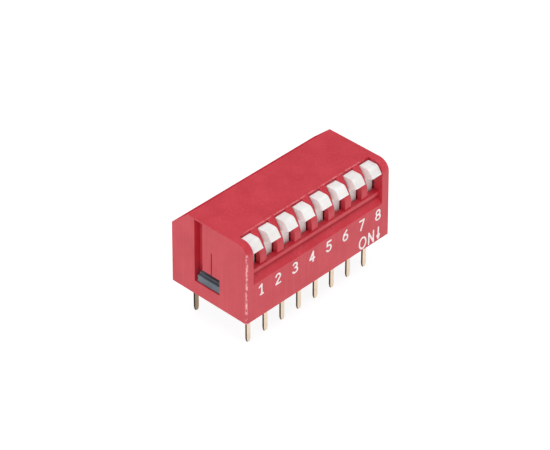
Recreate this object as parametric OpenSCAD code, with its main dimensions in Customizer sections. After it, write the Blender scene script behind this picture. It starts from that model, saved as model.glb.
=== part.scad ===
// Eight-position piano DIP switch, through-hole, with side-actuated levers.
// Millimetres. X runs along the row of switches with position 1 at -X, the
// levers face -Y and +Z is up. The origin is on the seating plane, at the
// centre of the two rows of terminals.

/* [Terminals] */
// Distance between neighbouring positions
pitch = 2.54; // [2.4:0.01:3.2]
// Distance between the front and the rear row
row_spacing = 7.62; // [7:0.01:9.5]
// Width of a terminal along the row
pin_w = 0.55; // [0.4:0.05:0.65]
// Thickness of the terminal strip
pin_t = 0.25; // [0.2:0.05:0.3]
// Length of a terminal below the seating plane
pin_len = 4.2; // [3:0.1:5.5]
// Width of a terminal at its tip
tip_w = 0.34; // [0.2:0.02:0.4]
// Height of the taper at the tip
tip_l = 0.45; // [0.3:0.05:0.8]
// Width of the flat pad and of the anchor on each terminal
pad_w = 1; // [0.9:0.05:1.2]
// Gap between the front pad and the rear pad
pad_gap = 0.45; // [0.3:0.05:0.6]

/* [Housing] */
// Front row to the front face
front_setback = 1.7; // [1.6:0.05:2.1]
// Rear row to the back face
rear_setback = 1.5; // [1.3:0.05:2.2]
// Height of the housing above the seating plane
body_h = 9.6; // [8.2:0.1:11.6]
// Thickness of the rim at each end of the levers
rim_w = 1.1; // [1.05:0.05:1.5]
// Lower end wall, round the base
end_wall = 0.8; // [0.6:0.05:0.9]
// Front wall
front_wall = 1.25; // [1.2:0.01:1.3]
// Back wall
back_wall = 0.9; // [0.7:0.05:1.1]
// Top wall
top_wall = 1; // [0.9:0.05:1.2]
// Mould draft of the two end faces, in degrees
end_draft = 1; // [0:0.25:1.5]
// Radius of the shoulder at the top front edge
shoulder_r = 1.3; // [0.6:0.1:1.9]
// Depth of the bevel along the top back edge
back_run = 2.3; // [1:0.1:2.6]
// Height of the bevel along the top back edge
back_drop = 2.1; // [1:0.1:2.6]

/* [Front recess] */
// Height of the recess, from the top of the housing
recess_h = 5.05; // [4.7:0.05:5.4]
// Depth of the groove under the lip
groove_in = 0.9; // [0.6:0.05:0.95]
// Height of the slope below the groove
groove_slope = 0.8; // [0.5:0.05:0.9]
// Straight part of the groove, under the lip
groove_h = 0.15; // [0.1:0.05:0.2]
// Height of the lip
lip_h = 0.45; // [0.35:0.05:0.5]
// Front face to the lip
lip_in = 0.5; // [0.3:0.05:0.6]
// Front face to the dividers between the levers
divider_in = 0.65; // [0.6:0.05:0.8]
// Straight height of the dividers, above the lip
divider_h = 1.05; // [0.8:0.05:1.3]
// How far the slots run back from the front face
slot_in = 2.12; // [2:0.02:2.5]
// How much the sloping front of a divider bulges
divider_bow = 0.15; // [0.05:0.01:0.2]
// Side clearance of the pockets beside a lever's leg
pocket_w = 0.18; // [0.1:0.01:0.2]
// Length of the pockets, behind the front wall
pocket_l = 1.95; // [1.5:0.05:2.2]
// Top of a pocket above the knee of the dividers
pocket_rise = 0.6; // [0.3:0.05:0.7]

/* [End faces] */
// Front face to the latch window
window_in = 3.9; // [3.7:0.02:4.1]
// Width of the latch window
window_w = 3.32; // [3.2:0.02:3.6]
// Height of the bottom edge of the window
window_z = 1.65; // [1.55:0.05:1.9]
// Height of the window
window_h = 1.95; // [1.75:0.05:2]
// Window to the fine slit above it
slit_in = 1.1; // [0.9:0.05:1.5]
// Width of the slit
slit_w = 0.15; // [0.1:0.05:0.2]
// Depth of the slit
slit_d = 0.25; // [0.15:0.05:0.3]
// Height of the slit
slit_h = 2.8; // [1:0.1:3.2]
// Front face to the relief groove
relief_in = 6.37; // [6.3:0.01:6.6]
// Width of the relief groove
relief_w = 1.15; // [0.8:0.05:1.3]
// Depth of the relief groove
relief_d = 0.9; // [0.5:0.05:0.95]
// Top face to the end of the relief groove
relief_top = 0.14; // [0.12:0.02:0.6]

/* [Levers] */
// Width of a lever
lever_w = 1.42; // [1.3:0.02:1.5]
// Clearance on each side of a lever
side_gap = 0.1; // [0.06:0.01:0.12]
// Top of the housing to the rear edge of a lever
lever_drop = 0.3; // [0.2:0.02:0.5]
// Rise from the rear edge to the crown
crown_rise = 0.06; // [0:0.02:0.16]
// Front face to the crown
crown_in = 0.68; // [0.4:0.02:0.8]
// Front face to the tip
tip_in = 0.03; // [0:0.01:0.2]
// Crown to tip
tip_fall = 0.96; // [0.7:0.01:1.1]
// Tip to the root of the nose
chin_fall = 0.45; // [0.3:0.05:0.6]
// Clearance between a lever's leg and the front wall
leg_gap = 0.13; // [0.1:0.01:0.2]
// Front face to the pivot axis
pivot_in = 5; // [4.9:0.05:5.1]
// Top of the housing to the pivot axis
pivot_drop = 3.2; // [3.1:0.05:3.25]
// Radius of the hub round the pivot
hub_r = 0.9; // [0.7:0.05:0.95]
// Radius of the trunnions
trunnion_r = 0.45; // [0.3:0.05:0.45]
// Length of a trunnion beyond the lever's side
trunnion_l = 0.33; // [0.25:0.01:0.35]
// Radial clearance of a trunnion in its bearing
bearing_gap = 0.03; // [0.02:0.01:0.05]
// Hub to the end of the tail that stops the lever
tail_l = 1.1; // [1:0.05:1.15]
// Turn from off to on, in degrees
on_angle = 20; // [14:1:21]
// Clearance left at each stop
stop_gap = 0.03; // [0.02:0.01:0.06]

/* [Base and contacts] */
// Height of the top of the base
base_h = 1.6; // [1.5:0.05:1.65]
// Seating plane to the underside of the base
base_in = 0.15; // [0.1:0.05:0.3]
// Clearance between the base and the housing
base_gap = 0.05; // [0.03:0.01:0.08]
// End face to the nose of the latch hook
hook_in = 0.15; // [0.1:0.01:0.25]
// Height of the hook
hook_h = 0.85; // [0.8:0.05:1]
// End face to the step above the hook
step_in = 0.45; // [0.35:0.05:0.6]
// Height of the step
step_h = 0.25; // [0.15:0.05:0.3]
// Thickness of the wiper strip
strip_t = 0.15; // [0.12:0.01:0.18]
// Length of the wiper's fingers
finger_h = 1.4; // [1.1:0.05:1.6]
// Distance between the front and rear fingers
finger_span = 0.9; // [0.85:0.05:1]
// Radius of the wiper's shoes
shoe_r = 0.2; // [0.16:0.01:0.22]
// Gap between shoe and pad with the lever on
contact_gap = 0.02; // [0.01:0.01:0.05]
// Front wall to the front shoe with the lever off
finger_in = 0.35; // [0.3:0.05:0.45]
// Radius of the stake that holds the wiper
stake_r = 0.18; // [0.14:0.01:0.2]
// Radius of the stake's head
head_r = 0.28; // [0.24:0.01:0.29]

/* [Hidden] */
$fn = 48;
ways = 8;
eps = 0.01;
far = 30;

// Lengths that follow from the sizes above. A depth is measured from the
// front face, towards the back.
body_d = front_setback + row_spacing + rear_setback;
front_y = -row_spacing / 2 - front_setback;
slot_w = lever_w + 2 * side_gap;
row_l = (ways - 1) * pitch + slot_w;
half_l = row_l / 2 + rim_w;
divider_w = pitch - slot_w;
cavity_x = half_l - end_wall;
ceiling_z = body_h - top_wall;
pad_z = base_h + pin_t;

// Front recess
face_z = body_h - recess_h;
lip_z = face_z + groove_slope + groove_h;
sill_z = lip_z + lip_h;
knee_z = sill_z + divider_h;
divider_top = slot_in;

// Lever
pivot_z = body_h - pivot_drop;
lever_back = slot_in - 0.08;
back_z = body_h - lever_drop;
crown_z = back_z + crown_rise;
tip_z = crown_z - tip_fall;
leg_in = front_wall + leg_gap;
leg_z = pivot_z - hub_r;
tail_z = pivot_z + (ceiling_z - stop_gap - pivot_z - tail_l * sin(on_angle)) / cos(on_angle);
chamber_back = pivot_in + tail_l + 0.15;
bearing_r = trunnion_r + bearing_gap;

// Wiper, drawn with the lever on. Its front shoe ends finger_in behind the
// front wall once the lever is back at off.
shoe_z = pad_z + contact_gap + shoe_r;
front_shoe = pivot_in - (pivot_in - front_wall - finger_in) / cos(on_angle)
    + (pivot_z - shoe_z) * tan(on_angle);
rear_shoe = front_shoe + finger_span;
mid_shoe = (front_shoe + rear_shoe) / 2;
bridge_z = pad_z + finger_h;
carrier_z = bridge_z + strip_t;

function way_x(i) = (i - (ways + 1) / 2) * pitch;

// Extrude a side view, drawn as depth and height, from x0 to x1.
module side(x0, x1) {
    translate([x0, front_y, 0]) rotate([90, 0, 90]) linear_extrude(x1 - x0) children();
}

// A block from x0 to x1, from depth d0 to d1 and from z0 to z1.
module block(x0, x1, d0, d1, z0, z1) {
    translate([x0, front_y + d0, z0]) cube([x1 - x0, d1 - d0, z1 - z0]);
}

// A cylinder along X, on the pivot axis.
module pivot_rod(x0, x1, r) {
    translate([x0, front_y + pivot_in, pivot_z]) rotate([0, 90, 0]) cylinder(r = r, h = x1 - x0);
}

// The same shape at both ends.
module both_ends() {
    children();
    mirror([1, 0, 0]) children();
}

// Turn a side view drawn with the lever on back to off.
module to_off() {
    translate([pivot_in, pivot_z]) rotate(-on_angle) translate([-pivot_in, -pivot_z]) children();
}

// ---- Housing ----

module shell_2d() {
    difference() {
        polygon([[0, 0], [0, body_h], [body_d - back_run, body_h],
            [body_d, body_h - back_drop], [body_d, 0]]);
        difference() {
            translate([-1, body_h - shoulder_r]) square([1 + shoulder_r, shoulder_r + 1]);
            translate([shoulder_r, body_h - shoulder_r]) circle(r = shoulder_r);
        }
    }
}

// The recess: a slope, a groove and a lip, then the sloping divider fronts.
module recess_2d() {
    run = divider_top - divider_in;
    rise = body_h - knee_z;
    chord = sqrt(run * run + rise * rise);
    bow_r = (chord * chord / 4 + divider_bow * divider_bow) / (2 * divider_bow);
    polygon([[-1, face_z], [0, face_z], [groove_in, face_z + groove_slope], [groove_in, lip_z],
        [lip_in, lip_z], [lip_in, sill_z], [divider_in, sill_z], [divider_in, knee_z], [-1, knee_z]]);
    difference() {
        polygon([[-1, knee_z - eps], [divider_in, knee_z - eps], [divider_in, knee_z],
            [divider_top, body_h], [divider_top, body_h + 1], [-1, body_h + 1]]);
        translate([(divider_in + divider_top) / 2 + (bow_r - divider_bow) * rise / chord,
            (knee_z + body_h) / 2 - (bow_r - divider_bow) * run / chord])
            circle(r = bow_r, $fn = 160);
    }
}

// Room behind a lever for the rear terminal, following the back bevel.
module rear_room_2d() {
    polygon([[chamber_back - eps, base_h], [body_d - back_wall, base_h],
        [body_d - back_wall, body_h - back_drop - 0.5], [body_d - back_run - 0.5, ceiling_z],
        [chamber_back - eps, ceiling_z]]);
}

// A slot that drops a trunnion into place, closed by a round end.
module bearing_slot(x0, x1) {
    pivot_rod(x0, x1, bearing_r);
    block(x0, x1, pivot_in - bearing_r, pivot_in + bearing_r, base_h - 1, pivot_z);
}

module housing() color("crimson") difference() {
    side(-half_l, half_l) shell_2d();
    // drafted end faces
    both_ends() translate([half_l, -far / 2, 0]) rotate([0, -end_draft, 0])
        translate([0, 0, -5]) cube([5, far, far]);
    side(-row_l / 2, row_l / 2) recess_2d();
    // room for the base
    block(-cavity_x, cavity_x, front_wall, body_d - back_wall, -1, base_h + base_gap);
    // one chamber and one slot for each lever
    for (i = [1:ways]) {
        block(way_x(i) - slot_w / 2, way_x(i) + slot_w / 2, front_wall, chamber_back, base_h, ceiling_z);
        block(way_x(i) - slot_w / 2, way_x(i) + slot_w / 2, -1, slot_in, sill_z, body_h + 1);
        block(way_x(i) - slot_w / 2 - pocket_w, way_x(i) + slot_w / 2 + pocket_w,
            front_wall, front_wall + pocket_l, base_h, knee_z + pocket_rise);
        side(way_x(i) - pad_w / 2 - 0.15, way_x(i) + pad_w / 2 + 0.15) rear_room_2d();
    }
    // bearings in the dividers and in the end walls
    for (i = [1:ways - 1])
        bearing_slot(way_x(i) + slot_w / 2 - eps, way_x(i + 1) - slot_w / 2 + eps);
    both_ends() {
        bearing_slot(row_l / 2 - eps, cavity_x);
        // latch pocket and window
        block(row_l / 2 - 0.2, cavity_x, window_in - 0.1, window_in + window_w + 0.1,
            base_h - 1, window_z + window_h);
        block(cavity_x - eps, half_l + 1, window_in, window_in + window_w, window_z, window_z + window_h);
        // relief groove and the fine slit above the window
        block(half_l - relief_d, half_l + 1, relief_in, relief_in + relief_w,
            window_z, body_h - relief_top);
        block(half_l - slit_d, half_l + 1, window_in + slit_in, window_in + slit_in + slit_w,
            window_z + window_h - eps, window_z + window_h + slit_h);
    }
}

// ---- Terminals ----

// The blade that goes through the base: shoulders inside, tapered tip.
module blade() {
    a = pin_w / 2;
    s = pad_w / 2;
    t = tip_w / 2;
    translate([0, pin_t / 2, 0]) rotate([90, 0, 0]) linear_extrude(pin_t) polygon([
        [-t, -pin_len], [t, -pin_len], [a, -pin_len + tip_l],
        [a, base_h * 0.4], [s, base_h * 0.4], [s, pad_z], [-s, pad_z],
        [-s, base_h * 0.4], [-a, base_h * 0.4], [-a, -pin_len + tip_l]]);
}

module front_terminal(i) color("wheat") translate([way_x(i), 0, 0]) {
    translate([0, -row_spacing / 2, 0]) blade();
    block(-pad_w / 2, pad_w / 2, front_setback, mid_shoe - pad_gap / 2, base_h, pad_z);
}

module rear_terminal(i) color("wheat") translate([way_x(i), 0, 0]) {
    translate([0, row_spacing / 2, 0]) blade();
    block(-pad_w / 2, pad_w / 2, mid_shoe + pad_gap / 2, front_setback + row_spacing, base_h, pad_z);
}

// ---- Base ----

// A post that closes a bearing slot from below and cradles the trunnions.
module bearing_post(x0, x1) {
    difference() {
        block(x0, x1, pivot_in - bearing_r + base_gap, pivot_in + bearing_r - base_gap,
            base_in + 0.2, pivot_z - 0.05);
        pivot_rod(x0 - 1, x1 + 1, bearing_r);
    }
}

// The latch: an arm behind the window, with a hook that catches on its sill
// and a step above the hook.
module latch() {
    x1 = cavity_x - base_gap;
    hook_x = half_l - hook_in;
    step_x = half_l - step_in;
    foot_z = window_z + base_gap;
    hook_z = foot_z + hook_h;
    step_z = hook_z + step_h;
    arm_z = window_z + window_h - 0.2;
    translate([0, front_y + window_in + window_w - base_gap, 0]) rotate([90, 0, 0])
        linear_extrude(window_w - 2 * base_gap) polygon([
            [row_l / 2 - 0.1, base_in + 0.2], [x1, base_in + 0.2], [x1, foot_z],
            [hook_x, foot_z], [hook_x, hook_z], [step_x, hook_z], [step_x, step_z],
            [x1, step_z], [x1, arm_z], [row_l / 2 - 0.1, arm_z]]);
}

module base() color("darkslategray") difference() {
    union() {
        block(-cavity_x + base_gap, cavity_x - base_gap, front_wall + base_gap,
            body_d - back_wall - base_gap, base_in, base_h);
        for (i = [1:ways - 1])
            bearing_post(way_x(i) + slot_w / 2 + base_gap, way_x(i + 1) - slot_w / 2 - base_gap);
        both_ends() {
            bearing_post(row_l / 2 + 0.02, cavity_x - base_gap);
            latch();
        }
    }
    for (i = [1:ways], s = [-1, 1]) translate([way_x(i), s * row_spacing / 2, 0]) blade();
}

// ---- Levers and wipers ----

module lever_2d() {
    polygon([[lever_back, back_z], [crown_in, crown_z], [tip_in, tip_z],
        [leg_in, tip_z - chin_fall], [leg_in, leg_z], [pivot_in, leg_z],
        [pivot_in + tail_l, pivot_z], [pivot_in + tail_l, tail_z], [lever_back, tail_z]]);
    translate([pivot_in, pivot_z]) circle(r = hub_r);
}

module carrier_2d() to_off() polygon([[front_shoe - 0.1, carrier_z], [rear_shoe + 0.1, carrier_z],
    [rear_shoe + 0.1, pivot_z - hub_r / 2], [front_shoe - 0.1, pivot_z - hub_r / 2]]);

// A round feature on the wiper's bridge, along the fingers, turned to off.
module stake(r, z0, z1) {
    translate([0, front_y + pivot_in, pivot_z]) rotate([-on_angle, 0, 0])
        translate([0, mid_shoe - pivot_in, z0 - pivot_z]) cylinder(r = r, h = z1 - z0, $fn = 24);
}

module lever(i) color("white") translate([way_x(i), 0, 0]) {
    side(-lever_w / 2, lever_w / 2) lever_2d();
    side(-pad_w / 2, pad_w / 2) carrier_2d();
    pivot_rod(-lever_w / 2 - trunnion_l, lever_w / 2 + trunnion_l, trunnion_r);
    stake(stake_r, bridge_z - 0.05, carrier_z + 0.2);
    stake(head_r, bridge_z - 0.12, bridge_z);
}

module wiper_2d() to_off() {
    translate([front_shoe - strip_t / 2, bridge_z]) square([finger_span + strip_t, strip_t]);
    for (d = [front_shoe, rear_shoe]) {
        translate([d - strip_t / 2, shoe_z]) square([strip_t, bridge_z - shoe_z + eps]);
        translate([d, shoe_z]) circle(r = shoe_r, $fn = 24);
    }
}

// The strip has two fingers side by side on each leg.
module wiper(i) color("goldenrod") translate([way_x(i), 0, 0]) difference() {
    side(-pad_w / 2, pad_w / 2) wiper_2d();
    side(-0.1, 0.1) to_off() translate([front_shoe - 1, 0]) square([3, bridge_z - 0.25]);
    stake(stake_r + 0.01, bridge_z - 1, carrier_z + 1);
}

housing();
base();
for (i = [1:ways]) {
    lever(i);
    wiper(i);
    front_terminal(i);
    rear_terminal(i);
}
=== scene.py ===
# %% [markdown]
# # An eight-way piano DIP switch
# A DIP switch is a row of tiny switches that is soldered to a circuit board. The piano
# type has its levers along the front edge, like keys, so it can be set from the side when
# boards are stacked. This one has a red moulded housing on a dark grey base, white levers,
# numerals printed under them, and two rows of flat terminals.
#
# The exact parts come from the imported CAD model. Blender adds what moulding, stamping and
# printing leave on the real parts: rounded edges, a fine surface grain, ink, and wear.

# %% Load the exact parts
import math

import bmesh
import bpy
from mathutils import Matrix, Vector


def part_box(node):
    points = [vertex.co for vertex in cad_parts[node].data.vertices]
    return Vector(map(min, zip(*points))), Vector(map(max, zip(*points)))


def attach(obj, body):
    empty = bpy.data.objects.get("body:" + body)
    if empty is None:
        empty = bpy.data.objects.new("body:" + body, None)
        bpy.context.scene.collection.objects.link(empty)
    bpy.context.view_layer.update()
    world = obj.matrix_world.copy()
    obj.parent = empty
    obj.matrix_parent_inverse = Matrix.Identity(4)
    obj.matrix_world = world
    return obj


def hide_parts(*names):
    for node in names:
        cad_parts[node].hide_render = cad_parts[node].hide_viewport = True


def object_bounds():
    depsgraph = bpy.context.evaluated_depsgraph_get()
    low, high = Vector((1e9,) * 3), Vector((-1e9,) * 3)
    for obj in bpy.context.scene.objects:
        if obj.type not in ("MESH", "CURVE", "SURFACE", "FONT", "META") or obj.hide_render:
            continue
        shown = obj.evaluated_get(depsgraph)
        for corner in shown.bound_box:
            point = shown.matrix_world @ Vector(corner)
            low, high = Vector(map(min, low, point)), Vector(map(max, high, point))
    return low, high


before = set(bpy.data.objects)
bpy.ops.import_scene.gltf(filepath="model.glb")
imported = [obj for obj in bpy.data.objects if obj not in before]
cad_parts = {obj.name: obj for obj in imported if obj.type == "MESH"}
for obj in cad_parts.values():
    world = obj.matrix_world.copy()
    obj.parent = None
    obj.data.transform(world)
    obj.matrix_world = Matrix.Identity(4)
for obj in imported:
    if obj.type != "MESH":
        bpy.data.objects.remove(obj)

MM = 0.001
CAD_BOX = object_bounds()
print("CAD box in mm:", [[round(v / MM, 2) for v in corner] for corner in CAD_BOX])

# %% [markdown]
# Positions are taken from the exact parts, so the scene follows them if a size changes.
# The levers are numbered from the left, and each terminal row has the same pitch.

# %% Sizes read from the parts
WAYS = range(1, 9)
HOUSING_LOW, HOUSING_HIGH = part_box("housing")
LEVER_X = [sum(corner.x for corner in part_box(f"lever_{i}")) / 2 for i in WAYS]
PITCH = (LEVER_X[-1] - LEVER_X[0]) / (len(WAYS) - 1)
FRONT_Y, TOP_Z = HOUSING_LOW.y, HOUSING_HIGH.z
print(f"pitch {PITCH / MM:.2f} mm, front at y {FRONT_Y / MM:.2f}, top at z {TOP_Z / MM:.2f}")

# %% [markdown]
# ## Camera
# The switch is seen from its left front corner and from above, through a long lens. A long
# lens from a quarter of a metre keeps parallel edges nearly parallel, as in close-up
# product work.

# %% Camera
AZIMUTH, ELEVATION = math.radians(-46.022), math.radians(36.721)
DISTANCE, SLIDE, LIFT = 264.812 * MM, -0.616 * MM, -0.329 * MM
AIM = Vector((0, 0, 4.5 * MM))
FOCAL_LENGTH, SENSOR_WIDTH = 165.4, 36

back = Vector((math.sin(AZIMUTH) * math.cos(ELEVATION),
               -math.cos(AZIMUTH) * math.cos(ELEVATION), math.sin(ELEVATION)))
right = Vector((math.cos(AZIMUTH), math.sin(AZIMUTH), 0))
camera = bpy.data.objects.new("camera", bpy.data.cameras.new("camera"))
camera.data.lens, camera.data.sensor_width = FOCAL_LENGTH, SENSOR_WIDTH
camera.data.clip_start, camera.data.clip_end = 0.01, 10
camera.location = AIM + back * DISTANCE + right * SLIDE + back.cross(right) * LIFT
camera.rotation_euler = back.to_track_quat("Z", "Y").to_euler()
scene = bpy.context.scene
scene.collection.objects.link(camera)
scene.camera = camera
print("camera at", [round(v, 4) for v in camera.location])

# %% [markdown]
# ## Light and floor
# A small part is usually lit in a white tent on a light table: soft light from all round, and
# a floor that glows, so that hardly any shadow shows. A sky that is brightest overhead stands
# for the tent, and three large panels stand for its lamps. The helpers that add nodes come
# first, because the sky is made of nodes too.


# %% Helpers that add nodes
def add_node(tree, kind, values=None, **settings):
    """Adds a node; a value that is a socket is linked, any other is set."""
    node = tree.nodes.new(kind)
    for key, value in settings.items():
        setattr(node, key, value)
    for key, value in (values or {}).items():
        if isinstance(value, bpy.types.NodeSocket):
            tree.links.new(value, node.inputs[key])
        else:
            node.inputs[key].default_value = value
    return node


def shade(tree, kind, values=None, **settings):
    return add_node(tree, "ShaderNode" + kind, values, **settings)


def remap(tree, value, low, high, to_low=0.0, to_high=1.0):
    """Stretches the range from low to high to the one from to_low to to_high."""
    return shade(tree, "MapRange", {0: value, 1: low, 2: high, 3: to_low, 4: to_high}).outputs[0]


# %% The tent
LEVEL_LIGHT, OVERHEAD_LIGHT = 0.30, 0.50
OVERHEAD = 0.9  # the height of a direction, from 0 to 1, where the tent is at its brightest

scene.view_settings.view_transform = "Standard"
world = scene.world or bpy.data.worlds.new("tent")
scene.world = world
world.use_nodes = True
sky = world.node_tree
tent = sky.nodes.get("Background") or sky.nodes.new("ShaderNodeBackground")
tent.inputs["Strength"].default_value = 1.0
height = shade(sky, "SeparateXYZ", {0: shade(sky, "TexCoord").outputs["Generated"]}).outputs["Z"]
sky.links.new(remap(sky, height, 0.0, OVERHEAD, LEVEL_LIGHT, OVERHEAD_LIGHT), tent.inputs["Color"])
print("tent light from", LEVEL_LIGHT, "to", OVERHEAD_LIGHT)


# %% The lamps
def panel(name, place, size, power):
    """A square soft light that points at the middle of the switch."""
    light = bpy.data.lights.new(name, "AREA")
    light.shape, light.size, light.energy = "SQUARE", size, power
    lamp = bpy.data.objects.new(name, light)
    lamp.location = place
    lamp.rotation_euler = Vector(place).to_track_quat("Z", "Y").to_euler()
    scene.collection.objects.link(lamp)


LAMPS = [("lamp_left", (-0.42, -0.12, 0.30), 0.30, 0.50),
         ("lamp_front", (0.05, -0.45, 0.25), 0.30, 0.25),
         ("lamp_above", (-0.05, -0.05, 0.50), 0.40, 1.25)]
for lamp in LAMPS:
    panel(*lamp)
print("lamps:", len(LAMPS))

# %% The floor
TABLE_GREY, TABLE_GLOW = 0.26, 0.86
CLEARANCE = 0.02 * MM

bpy.ops.mesh.primitive_grid_add(x_subdivisions=1, y_subdivisions=1, size=2)
floor = bpy.context.object
floor.name = "floor"
floor.data.transform(floor.matrix_world)
floor.location = (0, 0, CAD_BOX[0].z - CLEARANCE)
paper = bpy.data.materials.new("white_table")
paper.use_nodes = True
sheet = paper.node_tree.nodes["Principled BSDF"]
sheet.inputs["Base Color"].default_value = (TABLE_GREY, TABLE_GREY, TABLE_GREY, 1)
sheet.inputs["Roughness"].default_value = 0.9
sheet.inputs["Emission Color"].default_value = (1, 1, 1, 1)
sheet.inputs["Emission Strength"].default_value = TABLE_GLOW
floor.data.materials.append(paper)
print("floor at z", round(floor.location.z / MM, 2), "mm")

# %% [markdown]
# ## Rounded edges
# No moulded or stamped edge is truly sharp: each has a small radius that catches a line of
# light. The exact part is copied, its triangles are joined into flat faces, and chosen edges
# are bevelled, the large radii first. An attribute called `edge` keeps how much each rounded
# edge gets rubbed and lit, from 0 to 1, and the materials read it later to place rubbing and a
# painted highlight. Face-weighted normals keep the flats flat in the shading.

# %% Copy a part
WELD = 0.0002 * MM  # corners closer than this are one point
FLAT = math.radians(0.4)  # triangles that turn less than this are one face


def flat_faced(node):
    """A copy of an exact part, its loose triangles joined into flat faces."""
    bm = bmesh.new()
    bm.from_mesh(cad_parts[node].data)
    bmesh.ops.remove_doubles(bm, verts=bm.verts, dist=WELD)
    bmesh.ops.dissolve_limit(bm, angle_limit=FLAT, verts=bm.verts, edges=bm.edges)
    bm.normal_update()
    bm.faces.layers.int.new("round")
    return bm


# %% Round its edges
SHARP = math.radians(22)  # edges that turn less than this are left as they are


def round_edges(bm, radius, segments, wear_and_highlight, chosen):
    """Bevels the convex edges for which chosen(middle, normal_a, normal_b) is true.

    The radius and the middle are in mm. The layer `round` keeps how much each new face is rubbed
    and lit, in hundredths, and later passes leave the edges of those faces alone.
    """
    done = bm.faces.layers.int["round"]
    picked = []
    for edge in bm.edges:
        faces = edge.link_faces
        if len(faces) != 2 or not edge.is_convex or any(f[done] for f in faces):
            continue
        a, b = (f.normal for f in faces)
        middle = (edge.verts[0].co + edge.verts[1].co) / 2 / MM
        if a.angle(b, 0) > SHARP and chosen(middle, a, b):
            picked.append(edge)
    made = bmesh.ops.bevel(bm, geom=picked, offset=radius * MM, offset_type="OFFSET",
                           segments=segments, profile=0.5, affect="EDGES", clamp_overlap=True)
    for face in made["faces"]:
        face[done] = max(1, round(100 * wear_and_highlight))
    bm.normal_update()
    return len(picked)


# %% Make it a mesh again
SMOOTH = math.radians(40)  # the shading runs smoothly over edges that turn less than this


def evaluated_mesh(source, name):
    """A plain mesh of what the modifiers of an object make."""
    depsgraph = bpy.context.evaluated_depsgraph_get()
    mesh = bpy.data.meshes.new_from_object(source.evaluated_get(depsgraph),
                                           preserve_all_data_layers=True, depsgraph=depsgraph)
    mesh.name = name
    return mesh


def finished_mesh(bm, name):
    """Turns the bmesh into a mesh with an edge attribute and face-weighted normals."""
    done = bm.faces.layers.int["round"]
    worn_and_highlight = [min((f[done] for f in v.link_faces), default=0) / 100 for v in bm.verts]
    for edge in bm.edges:
        edge.smooth = len(edge.link_faces) == 2 and edge.calc_face_angle(0) < SMOOTH
    for face in bm.faces:
        face.smooth = True
    mesh = bpy.data.meshes.new(name)
    bm.to_mesh(mesh)
    bm.free()
    mesh.attributes.new("edge", "FLOAT", "POINT").data.foreach_set("value", worn_and_highlight)
    draft = bpy.data.objects.new(name, mesh)
    scene.collection.objects.link(draft)
    weighted = draft.modifiers.new("normals", "WEIGHTED_NORMAL")
    weighted.keep_sharp = True
    result = evaluated_mesh(draft, name)
    bpy.data.objects.remove(draft)
    return result


def piece(name, mesh, body, slot, *nodes):
    """Adds a finished mesh as a piece that stands for exact parts and moves with a body."""
    made = bpy.data.objects.new(name, mesh)
    scene.collection.objects.link(made)
    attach(made, body)
    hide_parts(*nodes)
    return made


# %% [markdown]
# ## Housing
# The housing is one red moulding. Its four upright corners are the roundest edges, the rims
# and the top come next, and the slots, the lip and the windows have only the slight radius
# that a mould leaves. Each kind of edge is told by where its middle lies and which way its
# two faces look.

# %% Places on the housing, in mm
HALF = HOUSING_HIGH.x / MM
DEPTH = (HOUSING_HIGH.y - FRONT_Y) / MM
TOP = TOP_Z / MM
HAIR = 0.01  # how near counts as touching
RECESS_BACK = 2.2  # the recess ends at this depth
BEVEL_FRONT = 8.4  # the bevel at the back starts behind this depth
SILL, BROW = 4.6, 8.6  # heights between which the recess cuts the rims
SHOULDER = 7  # the shoulder and the bevel are above this height


def on_end(p):
    """On an end face, which leans in a little as it rises."""
    return abs(p.x) > HALF - 0.25


def at_depth(p):
    """How far a point lies behind the front face."""
    return p.y - FRONT_Y / MM


def on_front_or_back(p):
    return at_depth(p) < HAIR or at_depth(p) > DEPTH - HAIR


print(f"housing: {2 * HALF:.1f} by {DEPTH:.1f} by {TOP:.1f} mm")


# %% Kinds of edge on the housing
def corner_post(p, a, b):
    """The four upright corners of the box."""
    return on_end(p) and on_front_or_back(p) and abs(a.z) < 0.2 and abs(b.z) < 0.2


def outer_rim(p, a, b):
    """Where the end faces meet the front, the shoulder, the top and the bevel."""
    ends = on_end(p) and max(abs(a.x), abs(b.x)) > 0.9 and min(abs(a.x), abs(b.x)) < 0.3
    round_top = at_depth(p) < RECESS_BACK or p.z > TOP - HAIR or at_depth(p) > BEVEL_FRONT
    return ends and p.z > SHOULDER and round_top


def crest(p, a, b):
    """The two long edges of the bevel at the back."""
    behind = at_depth(p) > BEVEL_FRONT and p.z > SHOULDER and abs(p.x) < 1
    return behind and min(a.y, b.y) > -0.1


def divider_brow(p, a, b):
    """The top front edge of each divider, rubbed by fingers and given a painted highlight."""
    high = p.z > TOP - HAIR and at_depth(p) < RECESS_BACK
    return high and max(a.z, b.z) > 0.99 and min(a.y, b.y) < -0.5


def rim_inside(p, a, b):
    """The upright edges where the recess cuts into the rims."""
    beside = at_depth(p) < 0.3 and SILL < p.z < BROW and abs(p.x) < HALF - 0.5
    return beside and max(abs(a.x), abs(b.x)) > 0.9


def small_detail(p, a, b):
    """Slots, dividers, lip, front face, windows and grooves: all that shows from outside."""
    front = at_depth(p) < RECESS_BACK and p.z > 4.4
    window = on_end(p) and 3 < at_depth(p) < 8 and p.z > 1
    foot = p.z < HAIR and (abs(p.x) > HALF - 0.1 or on_front_or_back(p))
    return front or window or foot


# Each pass has a radius in mm, a number of segments, how much it is rubbed and painted with a
# highlight, and the kind of edge.
PASSES = [(0.24, 5, 1.0, corner_post), (0.16, 3, 0.6, outer_rim), (0.06, 2, 0.0, crest),
          (0.10, 3, 0.35, divider_brow), (0.07, 2, 0.9, rim_inside), (0.05, 2, 0.5, small_detail)]
shell = flat_faced("housing")
counts = [round_edges(shell, *one) for one in PASSES]
housing = piece("red_housing", finished_mesh(shell, "red_housing"), "body", "housing", "housing")
print("housing: edges rounded in each pass", counts, "faces", len(housing.data.polygons))

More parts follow.
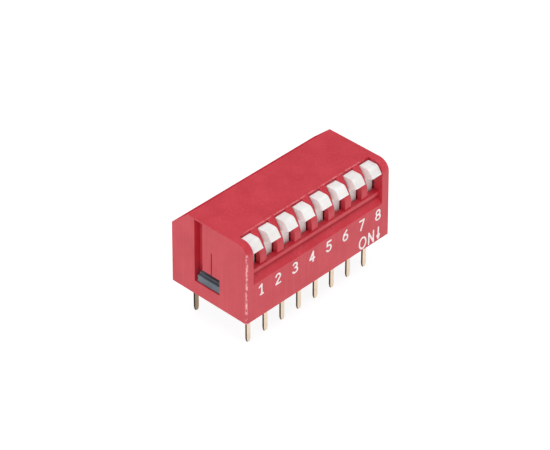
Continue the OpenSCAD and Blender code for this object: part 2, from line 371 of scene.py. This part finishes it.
# %% [markdown]
# ## Base
# The dark grey base closes the housing from below and carries the terminals. Only its underside
# and the latch in the window of each end show.


# %% Base
def latch_or_underside(p, a, b):
    return abs(p.x) > 9.6 or p.z < 0.2


plate = flat_faced("base")
count = round_edges(plate, 0.04, 2, 0.5, latch_or_underside)
base = piece("grey_base", finished_mesh(plate, "grey_base"), "body", "base", "base")
print("base: edges rounded", count)

# %% [markdown]
# ## Repeats along the row
# Levers and terminals repeat at the pitch, so each is finished once and a Geometry Nodes tree
# sets the copies out along X. A lever moves by itself, so its tree makes one copy at a time,
# and a row of terminals is one mesh.


# %% Helpers for Geometry Nodes
def new_tree(name, inputs):
    """A tree with named inputs; returns it with its input and output nodes."""
    tree = bpy.data.node_groups.new(name, "GeometryNodeTree")
    for label, kind, value in inputs:
        socket = tree.interface.new_socket(label, in_out="INPUT", socket_type="NodeSocket" + kind)
        if value is not None:
            socket.default_value = value
    tree.interface.new_socket("Geometry", in_out="OUTPUT", socket_type="NodeSocketGeometry")
    return tree, tree.nodes.new("NodeGroupInput"), tree.nodes.new("NodeGroupOutput")


def chain(tree, kind, values, **settings):
    return add_node(tree, "GeometryNode" + kind, values, **settings)


def run_tree(source, tree, name, **values):
    """Runs a tree on an object and returns its result as a plain mesh."""
    modifier = source.modifiers.new(tree.name, "NODES")
    modifier.node_group = tree
    for item in tree.interface.items_tree:
        label = item.name.replace(" ", "_").lower()
        if item.in_out == "INPUT" and label in values:
            modifier[item.identifier] = values[label]
    mesh = evaluated_mesh(source, name)
    source.modifiers.remove(modifier)
    return mesh


def master_of(bm, name):
    """An object that holds one finished part while a tree copies it."""
    master = bpy.data.objects.new(name, finished_mesh(bm, name))
    scene.collection.objects.link(master)
    return master


# %% A tree that repeats a part along the row
row, start, end = new_tree("row_of_parts", [
    ("Part", "Geometry", None), ("Count", "Int", len(WAYS)), ("Pitch", "Float", PITCH),
    ("Offset", "Float", 0.0), ("Material", "Material", None)])
step = shade(row, "CombineXYZ", {"X": start.outputs["Pitch"]})
first = shade(row, "CombineXYZ", {"X": start.outputs["Offset"]})
line = chain(row, "MeshLine", {"Count": start.outputs["Count"], "Offset": step.outputs[0],
                               "Start Location": first.outputs[0]})
copies = chain(row, "InstanceOnPoints", {"Points": line.outputs[0],
                                         "Instance": start.outputs["Part"]})
solid = chain(row, "RealizeInstances", {"Geometry": copies.outputs[0]})
dressed = chain(row, "SetMaterial", {"Geometry": solid.outputs[0],
                                     "Material": start.outputs["Material"]})
row.links.new(dressed.outputs[0], end.inputs[0])
print("tree made:", row.name, "with", len(row.nodes), "nodes")

# %% [markdown]
# ## Finishes
# Two effects are shared, so each is a shader node group: a fine moulded or rolled grain with
# slow mottling, and rubbing with a painted highlight along edges. Everything else is set in each
# material. The scale of a noise is in waves to the metre, so 9000 is a grain of about a tenth
# of a millimetre.


# %% Helpers for groups and noise
def new_group(name, inputs, outputs):
    """A shader node group with named float inputs and outputs."""
    tree = bpy.data.node_groups.new(name, "ShaderNodeTree")
    for label, value in inputs:
        socket = tree.interface.new_socket(label, in_out="INPUT", socket_type="NodeSocketFloat")
        socket.default_value = value
    for label in outputs:
        tree.interface.new_socket(label, in_out="OUTPUT", socket_type="NodeSocketFloat")
    return tree, tree.nodes.new("NodeGroupInput"), tree.nodes.new("NodeGroupOutput")


def use_group(tree, group, values):
    """Places a group in a tree with its own values."""
    return shade(tree, "Group", values, node_tree=group)


def noise(tree, vector, scale, detail=2.0, roughness=0.5):
    return shade(tree, "TexNoise", {"Vector": vector, "Scale": scale, "Detail": detail,
                                    "Roughness": roughness}).outputs[0]


def times(tree, a, b):
    return shade(tree, "Math", {0: a, 1: b}, operation="MULTIPLY").outputs[0]


# %% Grain
# Height is the fine relief. Mottle is a slow cloud, Speck a fine one, and Draw the upright
# marks left as a part slides from its mould, all from 0 to 1.
LOW, HIGH = 0.35, 0.65  # noise seldom leaves this range
DRAW_SCALE, DRAW_STRETCH = 3500, 0.03

grain, g_in, g_out = new_group("moulded_grain", [("Grain Scale", 9000), ("Mottle Scale", 500)],
                               ["Height", "Mottle", "Speck", "Draw"])
place = shade(grain, "TexCoord").outputs["Object"]
fine = noise(grain, place, g_in.outputs["Grain Scale"], 3)
cloud = noise(grain, place, g_in.outputs["Mottle Scale"], 4, 0.6)
drawn = shade(grain, "Mapping", {"Vector": place, "Scale": (1, 1, DRAW_STRETCH)}).outputs[0]
marks = noise(grain, drawn, DRAW_SCALE, 2, 0.6)
grain.links.new(fine, g_out.inputs["Height"])
for label, value in (("Mottle", cloud), ("Speck", fine), ("Draw", marks)):
    grain.links.new(remap(grain, value, LOW, HIGH), g_out.inputs[label])
print("group made:", grain.name)

# %% Rubbing and painted highlight
# Mask follows the rounded edges and is broken up by noise; it places rubbing and painted
# highlight.
rub_and_highlight, r_in, r_out = new_group("edge_rub", [("Break Scale", 2500), ("Start", 0.45), ("Stop", 0.6)],
                             ["Mask"])
place = shade(rub_and_highlight, "TexCoord").outputs["Object"]
ragged = remap(rub_and_highlight, noise(rub_and_highlight, place, r_in.outputs["Break Scale"], 3, 0.7),
               r_in.outputs["Start"], r_in.outputs["Stop"])
along = shade(rub_and_highlight, "Attribute", attribute_name="edge").outputs["Fac"]
rub_and_highlight.links.new(times(rub_and_highlight, along, ragged), r_out.inputs["Mask"])
print("group made:", rub_and_highlight.name)


# %% What every material starts from
def finish(name, roughness=0.5, metallic=0.0):
    """A new material; returns it with its tree and its Principled shader."""
    material = bpy.data.materials.new(name)
    material.use_nodes = True
    shader = material.node_tree.nodes["Principled BSDF"]
    for label, value in (("Roughness", roughness), ("Metallic", metallic), ("IOR", 1.5)):
        shader.inputs[label].default_value = value
    return material, material.node_tree, shader


def blend_colour(tree, factor, a, b):
    """Mixes two colours, each given as three numbers or as a socket."""
    node = shade(tree, "Mix", {0: factor}, data_type="RGBA")
    for index, value in ((6, a), (7, b)):
        if isinstance(value, bpy.types.NodeSocket):
            tree.links.new(value, node.inputs[index])
        else:
            node.inputs[index].default_value = (*value, 1)
    return node.outputs[2]


def surface(tree, shader, texture, colour, rough_low, rough_high, relief):
    """Joins the colour, the roughness and the relief, in mm, to the shader."""
    rough = remap(tree, texture.outputs["Speck"], 0, 1, rough_low, rough_high)
    bump = shade(tree, "Bump", {"Strength": 1.0, "Distance": relief * MM,
                                "Height": texture.outputs["Height"]})
    tree.links.new(colour, shader.inputs["Base Color"])
    tree.links.new(rough, shader.inputs["Roughness"])
    tree.links.new(bump.outputs[0], shader.inputs["Normal"])


# %% [markdown]
# Plastics: the red and the white are satin mouldings. The red is matte on every face that
# looks backwards: the back and its bevel, and smaller faces in the slots and inside the shell.
# The dark grey is a glass-filled grade, so it is a little coarser. The red is rubbed pale along
# the upright corner at the left front, in dashes that are also a painted highlight. The white
# lets a little light through.

# %% Moulded plastic
MOTTLE_SCALE, BREAK_SCALE = 450, 1800
RUB_AND_HIGHLIGHT_FADE = 0.15  # how far the noise runs from bare to fully rubbed and lit
SPECKLE = 0.02  # how much of the worn colour the specks show
ROUGH_SWING = 0.06


def moulded(name, dark, light, worn_and_highlight, rough, relief, grain_scale=9000, rub_start=0.45, draw=0.0,
            patch=None):
    """Moulded plastic: mottled colour, a fine grain, draw marks, and paler edges that are rubbed
    and carry a painted highlight.

    patch is a function that makes the mask of one more rubbed place with a painted highlight.
    """
    material, tree, shader = finish(name)
    texture = use_group(tree, grain, {"Grain Scale": grain_scale, "Mottle Scale": MOTTLE_SCALE})
    edges = use_group(tree, rub_and_highlight, {"Break Scale": BREAK_SCALE, "Start": rub_start,
                                  "Stop": rub_start + RUB_AND_HIGHLIGHT_FADE})
    masks = [remap(tree, texture.outputs["Draw"], 0.4, 1, 0, draw),
             remap(tree, texture.outputs["Speck"], 0, 1, 0, SPECKLE), edges.outputs["Mask"]]
    if patch:
        masks.append(patch(tree))
    colour = blend_colour(tree, texture.outputs["Mottle"], dark, light)
    # the paler colour goes on draw marks, specks, rubbed edges and the painted edge highlight
    for mask in masks:
        colour = blend_colour(tree, mask, colour, worn_and_highlight)
    surface(tree, shader, texture, colour, rough - ROUGH_SWING, rough + ROUGH_SWING, relief)
    return material


# %% The rubbed corner with its painted highlight
LEAN = math.tan(math.radians(1))  # the end faces lean in as they rise
STRIP_EDGE, STRIP_FULL = 0.24 * MM, 0.06 * MM  # distances from the corner's two faces
DASH_SCALE = 2300


def rubbed_corner(tree):
    """A mask of dashes on the upright corner at the left front: rubbing and a painted highlight.
    """
    place = shade(tree, "TexCoord").outputs["Object"]
    x, y, z = shade(tree, "SeparateXYZ", {0: place}).outputs
    across = shade(tree, "Math", {0: times(tree, z, LEAN), 1: x}, operation="SUBTRACT").outputs[0]
    near_end = remap(tree, across, HOUSING_HIGH.x - STRIP_EDGE, HOUSING_HIGH.x - STRIP_FULL)
    near_front = remap(tree, y, FRONT_Y + STRIP_EDGE, FRONT_Y + STRIP_FULL)
    dashes = remap(tree, noise(tree, place, DASH_SCALE, 3, 0.65), 0.44, 0.56)
    return times(tree, times(tree, near_end, near_front), dashes)


# %% Plastic finishes
# the pale dashes on the left front corner are rubbing and a painted highlight
RED = moulded("red_plastic", dark=(0.56, 0.020, 0.038), light=(0.62, 0.032, 0.054),
              worn_and_highlight=(0.97, 0.42, 0.44), rough=0.42, relief=0.006, rub_start=0.40, draw=0.03,
              patch=rubbed_corner)
MATTE_RED = RED.copy()
MATTE_RED.name = "matte_red_plastic"
MATTE_RED.node_tree.nodes["Principled BSDF"].inputs["Specular IOR Level"].default_value = 0.0

WHITE = moulded("white_plastic", dark=(0.82, 0.80, 0.78), light=(0.92, 0.91, 0.90),
                worn_and_highlight=(0.95, 0.94, 0.93), rough=0.4, relief=0.008)
light_through = WHITE.node_tree.nodes["Principled BSDF"]
light_through.inputs["Subsurface Weight"].default_value = 0.6
light_through.inputs["Subsurface Radius"].default_value = (1, 0.9, 0.8)
light_through.inputs["Subsurface Scale"].default_value = 0.5 * MM

GREY = moulded("grey_plastic", dark=(0.085, 0.105, 0.13), light=(0.13, 0.16, 0.195),
               worn_and_highlight=(0.26, 0.29, 0.32), rough=0.45, relief=0.012, grain_scale=6000)
print("plastics:", RED.name, MATTE_RED.name, WHITE.name, GREY.name)

# %% Dress the housing and the base
housing.data.materials.append(RED)
housing.data.materials.append(MATTE_RED)
for face in housing.data.polygons:
    face.material_index = int(face.normal.y > 0.5)
base.data.materials.append(GREY)
print("faces that look backwards:", sum(face.material_index for face in housing.data.polygons))

# %% [markdown]
# Metal: the terminals are stamped from strip that is already plated pale gold, so their two
# cut sides show darker bare bronze. The rear row lies in shade under the housing, and that shade
# is painted: the same tree with darker colours. The wiper is spring strip.

# %% Metal finishes
ROLLED_SCALE, STAIN_SCALE = 5000, 900
STAIN = 0.92  # how bright a stained patch is beside clean plating
ROLLED_RELIEF = 0.004


def strip_metal(name, plated, cut, rough):
    """Stamped strip: plated faces with rolling marks, and darker cut sides along X."""
    material, tree, shader = finish(name, metallic=1.0)
    texture = use_group(tree, grain, {"Grain Scale": ROLLED_SCALE, "Mottle Scale": STAIN_SCALE})
    normal = shade(tree, "SeparateXYZ", {0: shade(tree, "NewGeometry").outputs["Normal"]})
    sideways = shade(tree, "Math", {0: normal.outputs["X"]}, operation="ABSOLUTE").outputs[0]
    colour = blend_colour(tree, texture.outputs["Mottle"], [c * STAIN for c in plated], plated)
    colour = blend_colour(tree, remap(tree, sideways, 0.5, 0.9), colour, cut)
    surface(tree, shader, texture, colour, rough - 0.05, rough + 0.1, ROLLED_RELIEF)
    return material


PLATED = strip_metal("plated_strip", (0.82, 0.68, 0.52), (0.055, 0.032, 0.020), 0.35)
# painted shade: the rear row gets darker colours because it lies in shade under the housing
SHADED_STRIP = strip_metal("tarnished_strip", (0.36, 0.25, 0.16), (0.020, 0.014, 0.010), 0.4)
SPRING = strip_metal("spring_strip", (0.80, 0.58, 0.26), (0.40, 0.24, 0.10), 0.3)
print("metals:", PLATED.name, SHADED_STRIP.name, SPRING.name)

# %% [markdown]
# ## Levers
# A lever is a white moulding with a crown, a tip and a leg that goes down into the housing.
# The crown and the tip take the finger, so they have the largest radii. The lever is finished
# once and set out at the pitch, one to a body.


# %% Kinds of edge on a lever
def lengthwise(a, b):
    """Along X, between two faces that don't look sideways."""
    return max(abs(a.x), abs(b.x)) < 0.1


def crown(p, a, b):
    return lengthwise(a, b) and p.z > 9 and at_depth(p) < 1


def tip(p, a, b):
    return lengthwise(a, b) and 8 < p.z < 9 and at_depth(p) < 1


def heel(p, a, b):
    return lengthwise(a, b) and p.z > 9 and at_depth(p) > 1


def side(p, a, b):
    return max(abs(a.x), abs(b.x)) > 0.9 and at_depth(p) < 2.1


# %% Levers
lever = flat_faced("lever_1")
counts = [round_edges(lever, *one) for one in ((0.30, 5, 0.5, crown), (0.10, 3, 0.5, tip),
                                               (0.08, 2, 0.5, heel), (0.08, 3, 0.5, side))]
master = master_of(lever, "lever_master")
for i, x in zip(WAYS, LEVER_X):
    name = f"white_lever_{i}"
    mesh = run_tree(master, row, name, count=1, offset=x - LEVER_X[0], material=WHITE)
    piece(name, mesh, f"switch_{i}", "lever", f"lever_{i}")
bpy.data.objects.remove(master)
print("levers:", len(LEVER_X), "edges rounded in each pass", counts)

# %% [markdown]
# ## Terminals
# Each terminal is a blade with a tapered tip and a flat pad inside. Stamping leaves a small
# radius on one side and a burr on the other; at this size a small radius all round does.


# %% Terminals
def every_edge(p, a, b):
    return True


for end_of_base, metal in (("front", PLATED), ("rear", SHADED_STRIP)):
    name = f"{end_of_base}_terminals"
    blade = flat_faced(f"{end_of_base}_terminal_1")
    round_edges(blade, 0.03, 2, 0.5, every_edge)
    master = master_of(blade, "terminal_master")
    mesh = run_tree(master, row, name, count=len(WAYS), pitch=PITCH, material=metal)
    piece(name, mesh, "body", "terminal", *[f"{end_of_base}_terminal_{i}" for i in WAYS])
    bpy.data.objects.remove(master)
    print(name, "faces", len(mesh.polygons))

# %% [markdown]
# ## Wipers
# The wipers are hidden under the levers. Their exact shape is right as it is, so they keep it
# and only take a finish.

# %% Wipers
for i in WAYS:
    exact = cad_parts[f"wiper_{i}"]
    exact.data.materials.clear()
    exact.data.materials.append(SPRING)
print("wipers finished:", len(WAYS))

# %% [markdown]
# ## Printed marks
# White ink numbers the levers and shows which way is on. The strokes are even in width, as a
# pen plotter draws them, so each mark is a set of paths. A Geometry Nodes tree gives the
# paths a width and a film thickness, puts a round dot at each end and corner, and joins all
# of it into one closed film.


# %% The strokes of each mark
def bow(x, z, rx, rz, first_deg, last_deg, steps=14):
    """Points along part of an ellipse, anticlockwise for rising angles."""
    turn = [math.radians(first_deg + (last_deg - first_deg) * k / steps) for k in range(steps + 1)]
    return [(x + rx * math.cos(t), z + rz * math.sin(t)) for t in turn]


# A numeral is 0.69 wide and 1.22 high between the middles of its strokes, in mm.
MARKS = {
    "1": [[(0.14, 0.98), (0.48, 1.22), (0.48, 0)], [(0.28, 0), (0.68, 0)]],
    "2": [bow(0.35, 0.90, 0.32, 0.32, 165, -20) + [(0.03, 0)], [(0.03, 0), (0.68, 0)]],
    "3": [bow(0.32, 0.93, 0.30, 0.29, 150, -90), bow(0.32, 0.32, 0.35, 0.32, 90, -155)],
    "4": [[(0.50, 0), (0.50, 1.22), (0.02, 0.36)], [(0.02, 0.36), (0.69, 0.36)]],
    "5": [[(0.64, 1.22), (0.12, 1.22), (0.07, 0.70)],
          [(0.07, 0.70)] + bow(0.32, 0.38, 0.35, 0.38, 110, -150)],
    "6": [[(0.52, 1.22)] + bow(0.42, 0.45, 0.40, 0.55, 125, 180),
          bow(0.35, 0.36, 0.33, 0.36, 0, 360, 24)],
    "7": [[(0.02, 1.22), (0.68, 1.22), (0.20, 0)]],
    "8": [bow(0.35, 0.92, 0.28, 0.30, 0, 360, 24), bow(0.35, 0.31, 0.34, 0.31, 0, 360, 24)],
    "O": [bow(0.50, 0.70, 0.50, 0.70, 0, 360, 28)],
    "N": [[(0, 0), (0, 1.42), (0.73, 0), (0.73, 1.42)]],
    "arrow": [[(0.24, 1.50), (0.24, 0.10)],
              [(0.05, 0.50), (0.24, 0.06), (0.43, 0.50), (0.05, 0.50)]],
}
NUMERAL_SHIFT, NUMERAL_Z = -0.12, 2.78
LAYOUT = [(str(i), x / MM + NUMERAL_SHIFT, NUMERAL_Z) for i, x in zip(WAYS, LEVER_X)]
LAYOUT += [("O", 6.28, 0.24), ("N", 7.74, 0.24), ("arrow", 9.0, 0.18)]
print("marks:", " ".join(name for name, x, z in LAYOUT))

# %% [markdown]
# The paths become one curve object on the front face. A stroke of only a few points has sharp
# corners, so it is cut at each of them, and a long one is a smooth bow that stays whole.

# %% The paths
FEW_POINTS = 6

paths = bpy.data.curves.new("mark_paths", "CURVE")
paths.dimensions = "3D"
strokes = [(x, z, part) for name, x, z in LAYOUT for stroke in MARKS[name]
           for part in (zip(stroke, stroke[1:]) if len(stroke) < FEW_POINTS else [stroke])]
for x, z, stroke in strokes:
    spline = paths.splines.new("POLY")
    spline.points.add(len(stroke) - 1)
    for point, (px, pz) in zip(spline.points, stroke):
        point.co = ((x + px) * MM, FRONT_Y, (z + pz) * MM, 1)
print("paths:", len(strokes))

# %% A tree that inks the paths
STROKE_WIDTH, FILM = 0.22 * MM, 0.01 * MM
DOT_THICKNESS = 0.94  # of the film, so that no face of a dot lies in a face of a stroke

ink_tree, start, end = new_tree("printed_strokes", [
    ("Paths", "Geometry", None), ("Stroke Width", "Float", STROKE_WIDTH),
    ("Film", "Float", FILM), ("Material", "Material", None)])
pen = chain(ink_tree, "CurvePrimitiveQuadrilateral", {"Width": start.outputs["Film"],
                                                      "Height": start.outputs["Stroke Width"]})
upright = chain(ink_tree, "SetCurveNormal", {"Curve": start.outputs["Paths"],
                                             "Normal": (0, -1, 0)}, mode="FREE")
band = chain(ink_tree, "CurveToMesh", {"Curve": upright.outputs[0],
                                       "Profile Curve": pen.outputs[0], "Fill Caps": True})
dot = chain(ink_tree, "MeshCylinder", {
    "Vertices": 12, "Radius": times(ink_tree, start.outputs["Stroke Width"], 0.5),
    "Depth": times(ink_tree, start.outputs["Film"], DOT_THICKNESS)})
ends = chain(ink_tree, "CurveEndpointSelection", {"Start Size": 1, "End Size": 1})
dots = chain(ink_tree, "InstanceOnPoints", {
    "Points": start.outputs["Paths"], "Instance": dot.outputs["Mesh"],
    "Selection": ends.outputs[0], "Rotation": (math.radians(90), 0, 0)})
both = chain(ink_tree, "JoinGeometry", {"Geometry": band.outputs[0]})
ink_tree.links.new(dots.outputs[0], both.inputs[0])
real = chain(ink_tree, "RealizeInstances", {"Geometry": both.outputs[0]})
film = chain(ink_tree, "MeshBoolean", {1: real.outputs[0], "Self Intersection": True},
             operation="UNION", solver="EXACT")
dressed = chain(ink_tree, "SetMaterial", {"Geometry": film.outputs[0],
                                          "Material": start.outputs["Material"]})
ink_tree.links.new(dressed.outputs[0], end.inputs[0])
print("tree made:", ink_tree.name, "with", len(ink_tree.nodes), "nodes")

# %% Print the marks
INK, tree, shader = finish("white_ink", roughness=0.55)
texture = use_group(tree, grain, {"Grain Scale": 7000, "Mottle Scale": 1500})
pink_tinge, clean_white = (0.93, 0.80, 0.80), (0.97, 0.93, 0.92)
tree.links.new(blend_colour(tree, texture.outputs["Mottle"], pink_tinge, clean_white),
               shader.inputs["Base Color"])
tree.links.new(remap(tree, texture.outputs["Speck"], 0, 1, 0.45, 0.65),
               shader.inputs["Roughness"])

pen_paths = bpy.data.objects.new("mark_paths", paths)
scene.collection.objects.link(pen_paths)
mesh = run_tree(pen_paths, ink_tree, "printed_marks", material=INK)
bpy.data.objects.remove(pen_paths)
ink = bpy.data.objects.new("printed_marks", mesh)
scene.collection.objects.link(ink)
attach(ink, "body")
print("ink: faces", len(mesh.polygons))
